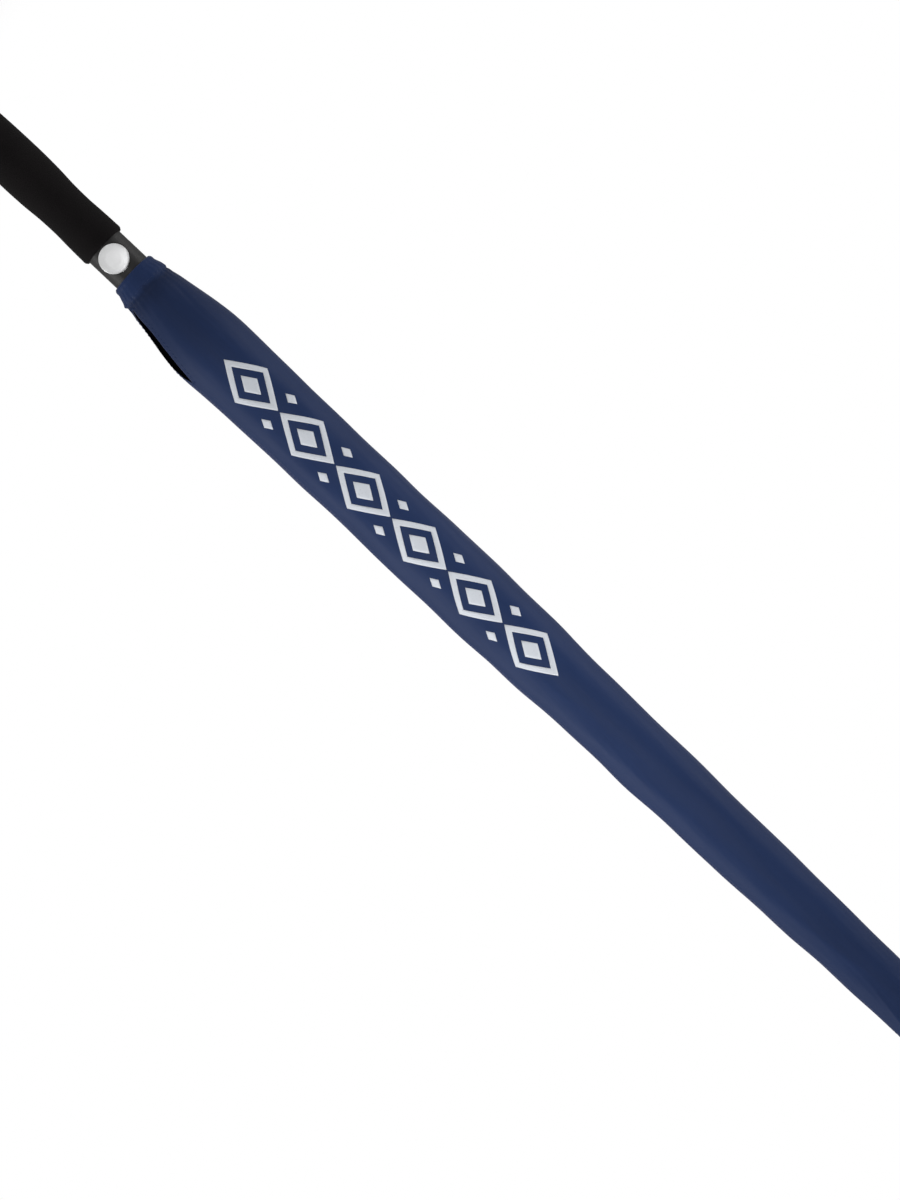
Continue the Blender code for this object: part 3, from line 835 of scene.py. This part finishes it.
def add_stitching(thread):
    """The sewn rows: round the hem and the neck, along both flaps of the slit, up the seam, and the tacks."""
    shape = bmesh.new()
    across = math.pi / 2
    for z in HEM_ROWS:
        count = round(2 * math.pi * plain_radius(z) / STITCH_PITCH)
        for k in range(count):
            add_stitch(shape, z, -math.pi + 2 * math.pi * (k + 0.5) / count, across)
    for z in np.arange(SLIT_LOW, SLIT_HIGH, STITCH_PITCH):
        front_edge, back_edge = slit_edges(z)
        inset = SEAM_ALLOWANCE / plain_radius(z)
        add_stitch(shape, z, float(front_edge) - inset, 0)
        add_stitch(shape, z, float(back_edge) + inset, 0)
    for z in np.arange(SLIT_HIGH + STITCH_PITCH, SEAM_TOP, STITCH_PITCH):
        inset = SEAM_ALLOWANCE / plain_radius(z)
        add_stitch(shape, z, SEAM_AZIMUTH + inset, 0)
    for z in TACK_HEIGHTS:
        for k in range(-3, 4):
            add_stitch(shape, z, SEAM_AZIMUTH + k * TACK_STEP, math.radians(TACK_LEAN * (-1) ** k))
    stitches = object_of("sleeve_stitching", mesh_of(shape, 60), thread)
    crumples_with_frame(stitches)
    return stitches


def lozenge(shape, uv_layer, centre_u, centre_v, half_u, half_v, inner, steps=9, rings=3):
    """Faces of a lozenge on the sleeve, down to an inner share of its size, or to its centre at 0."""
    tips = [(half_u, 0), (0, half_v), (-half_u, 0), (0, -half_v)]
    border = []
    for (u0, v0), (u1, v1) in zip(tips, tips[1:] + tips[:1]):
        border += [(u0 + (u1 - u0) * k / steps, v0 + (v1 - v0) * k / steps) for k in range(steps)]
    spread = [inner + (1 - inner) * k / rings for k in range(rings + 1)]
    flat = [[(centre_u + u * s, centre_v + v * s) for u, v in border] for s in spread]
    made = []
    for ring in flat:
        middle = ring[0] == ring[1]
        corners = []
        for u, v in ring[:1] if middle else ring:
            around = FRONT + u / plain_radius(v)
            corners.append(shape.verts.new(sleeve_point(v, around, INK_LIFT)))
        made.append(corners * len(ring) if middle else corners)
    for low, high, low_uv, high_uv in zip(made, made[1:], flat, flat[1:]):
        for k in range(len(border)):
            after = (k + 1) % len(border)
            pairs = [(low[k], low_uv[k]), (high[k], high_uv[k]), (high[after], high_uv[after])]
            if low[after] is not low[k]:
                pairs.append((low[after], low_uv[after]))
            face = shape.faces.new([corner for corner, _ in pairs])
            for loop, (_, uv) in zip(face.loops, pairs):
                loop[uv_layer].uv = uv


def add_print(ink):
    """Open lozenges, each with a small solid one in it, and small ones between them."""
    shape = bmesh.new()
    uv_layer = shape.loops.layers.uv.new("metres")
    half_length = PRINT_HALF_LENGTH * PRINT_FILL
    for k in range(PRINT_COUNT):
        middle = PRINT_LOW + PRINT_PITCH * (k + 0.5)
        lozenge(shape, uv_layer, 0, middle, PRINT_HALF_WIDTH, half_length, PRINT_OPENING)
        lozenge(shape, uv_layer, 0, middle, *PRINT_CORE, 0, 4)
        if k:
            for side in (-1, 1):
                beside = side * PRINT_HALF_WIDTH * PRINT_SPOT_SIDE
                lozenge(shape, uv_layer, beside, middle - PRINT_PITCH / 2, *PRINT_SPOT, 0, 3, 2)
    layer = object_of("sleeve_print", smooth_mesh(shape), ink)
    film = layer.modifiers.new("film", "SOLIDIFY")
    film.thickness = INK_FILM
    film.offset = 1
    apply_modifiers(layer)
    crumples_with_frame(layer)
    return layer


# Canopy

def pack_limits():
    """Heights, and the smallest and largest radius that the folded cloth may have at each."""
    places = np.array([corner.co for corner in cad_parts["canopy_panel_1"].data.vertices])
    heights = np.round(places[:, 2], 5)
    radii = np.hypot(places[:, 0], places[:, 1])
    levels = np.unique(heights)
    inner = np.array([radii[heights == z].min() for z in levels])
    outer = np.array([radii[heights == z].max() for z in levels])
    return levels, inner, outer


def canopy_grid(index, layer, rows=66, columns=27):
    """Places and flat coordinates of a panel's cloth. layer is 1 outside and -1 inside.

    across runs from 0 at one rib to 1 at the next. The blend turns the cloth by a smooth share of the way
    along a chord, so each column's place on that chord is found from its across.
    """
    middle = FIRST_RIB_AZIMUTH + RIB_PITCH * (index - 0.5)
    across = np.linspace(0, 1, columns)
    chord = 0.5 - np.sin(np.arcsin(1 - 2 * across) / 3)
    across = np.concatenate([[0], across, [1]])[None, :]
    angle = HALF_SPREAD * (2 * across - 1)
    straight = math.cos(HALF_SPREAD) / np.cos(angle)
    low = HINGE_Z - CANOPY_LENGTH * (straight - HEM_SCALLOP * np.sin(math.pi * across))
    up = np.linspace(0, 1, rows)[:, None] ** ROW_CROWDING
    z = low + (CANOPY_HIGH - low) * up
    levels, inner, outer = pack_limits()
    smallest = np.interp(z, levels, inner)
    largest = np.interp(z, levels, outer)
    turn = 2 * math.pi * PLEATS * across
    phase = turn + PLEAT_SKEW * np.sin(turn) + PLEAT_TWIST * (z - CANOPY_LOW)
    pleat = np.sin(phase) * np.sin(math.pi * across) ** 0.5
    depth = (largest - smallest - CANOPY_WALL) / 2 - 0.0001
    hem = np.where((z - low) < HEM_WIDTH, HEM_THICKNESS, 1.0)
    radius = (smallest + largest) / 2 + PLEAT_FILL * depth * pleat + layer * hem * CANOPY_WALL / 2
    reach = BLEND_RADIUS * math.sin(RIB_PITCH / 2) * (2 * chord - 1)
    aside = np.arcsin(reach[None, :] / radius[:, 1:-1])
    edge = np.full((rows, 1), RIB_PITCH / 2)
    azimuth = middle + np.concatenate([-edge, aside, edge], 1)
    places = np.stack([radius * np.cos(azimuth), radius * np.sin(azimuth), z], -1)
    flat = np.stack([(HINGE_Z - z) * np.sin(angle), (HINGE_Z - z) * np.cos(angle)], -1)
    return places, flat


def canopy_mesh(index):
    """One panel of cloth as folded: an outer and an inner layer, joined round their rim."""
    shape = bmesh.new()
    uv_layer = shape.loops.layers.uv.new("metres")
    layers = []
    for layer in (1, -1):
        places, flat = canopy_grid(index, layer)
        layers.append([[shape.verts.new(place) for place in row] for row in places])
    rows, columns = flat.shape[:2]

    def add_face(corners, around):
        face = shape.faces.new(corners)
        for loop, (i, j) in zip(face.loops, around):
            loop[uv_layer].uv = flat[i, j]

    for layer, corners in enumerate(layers):
        for i in range(rows - 1):
            for j in range(columns - 1):
                around = [(i, j), (i, j + 1), (i + 1, j + 1), (i + 1, j)]
                around = around[::-1] if layer else around
                add_face([corners[a][b] for a, b in around], around)
    rim = [(0, j) for j in range(columns)] + [(i, columns - 1) for i in range(1, rows)]
    rim += [(rows - 1, j) for j in range(columns - 2, -1, -1)] + [(i, 0) for i in range(rows - 2, 0, -1)]
    outside, inside = layers
    for first, second in zip(rim, rim[1:] + rim[:1]):
        corners = [outside[second[0]][second[1]], outside[first[0]][first[1]]]
        corners += [inside[first[0]][first[1]], inside[second[0]][second[1]]]
        add_face(corners, [second, first, first, second])
    return mesh_of(shape, 60)


def add_canopy(cloth):
    """Eight panels of folded cloth, each in place of its CAD panel."""
    panels = []
    for index in range(1, RIBS + 1):
        panel = object_of(f"canopy_cloth_{index}", canopy_mesh(index), cloth)
        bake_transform(panel)
        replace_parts(panel, f"canopy_panel_{index}")
        panels.append(panel)
    return panels


def add_crown(cloth):
    """The middle of the canopy: clamped under the cap, and drawn over the notch's rim."""
    under_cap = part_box("top_notch")[1].z + 0.0001
    outline = [
        (0.0070, under_cap), (0.0105, under_cap), (0.0124, under_cap - 0.0003), (0.0131, under_cap - 0.0016),
        (0.0134, under_cap - 0.0050), (0.0137, under_cap - 0.0050), (0.0134, under_cap - 0.0013),
        (0.0125, under_cap + 0.0001), (0.0105, under_cap + 0.0003), (0.0070, under_cap + 0.0003),
    ]
    crown = object_of("canopy_crown", turned(outline, 64, 80), cloth)
    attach(crown, "handle_and_shaft")


def main():
    add_studio()
    foam = foam_material()
    charcoal = plastic_material("charcoal_plastic", (0.0108, 0.0100, 0.0101), 0.5)
    black = plastic_material("black_plastic", (0.008, 0.008, 0.0085), 0.4)
    silver = metal_material("silver_button", (0.87, 0.875, 0.88), 0.36, (0.05, 1, 0.05), 0.2)
    steel = metal_material("spring_steel", (0.45, 0.45, 0.46), 0.33, (1, 1, 0.04))
    coated = metal_material("coated_steel", (0.10, 0.10, 0.105), 0.4, (1, 1, 0.04), 0.7)
    shaft = metal_material("coated_shaft", (0.03, 0.03, 0.032), 0.32, (1, 1, 0.03), 0.5)
    rods = fibreglass_material()
    sleeve_cloth = sleeve_material()
    thread = thread_material()
    # Painted shade: near-black cloth for the sleeve's inside and rims.
    painted_shade_inside = fabric("sleeve_inside", INSIDE_SHADE_BLACK, 0.8, Specular_IOR_Level=0.1)
    canopy_cloth = fabric("canopy_fabric", CANOPY_NAVY, 0.55, Specular_IOR_Level=0.14)
    ink = ink_material()

    add_grip(foam)
    add_end_cap(black)
    add_button(silver)
    add_ferrule(black)
    looks = {
        "charcoal_plastic": charcoal, "black_plastic": black, "spring_steel": steel, "coated_steel": coated,
        "coated_shaft": shaft, "fibreglass": rods, "canopy_fabric": canopy_cloth,
    }
    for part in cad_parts.values():
        shade_round(part)
        material = part.material_slots[0].material
        if material.name in looks:
            part.material_slots[0].material = looks[material.name]
    panels = add_canopy(canopy_cloth)
    add_crown(canopy_cloth)
    sleeve = add_sleeve(sleeve_cloth, painted_shade_inside)
    extras = [add_print(ink), add_stitching(thread)]


main()
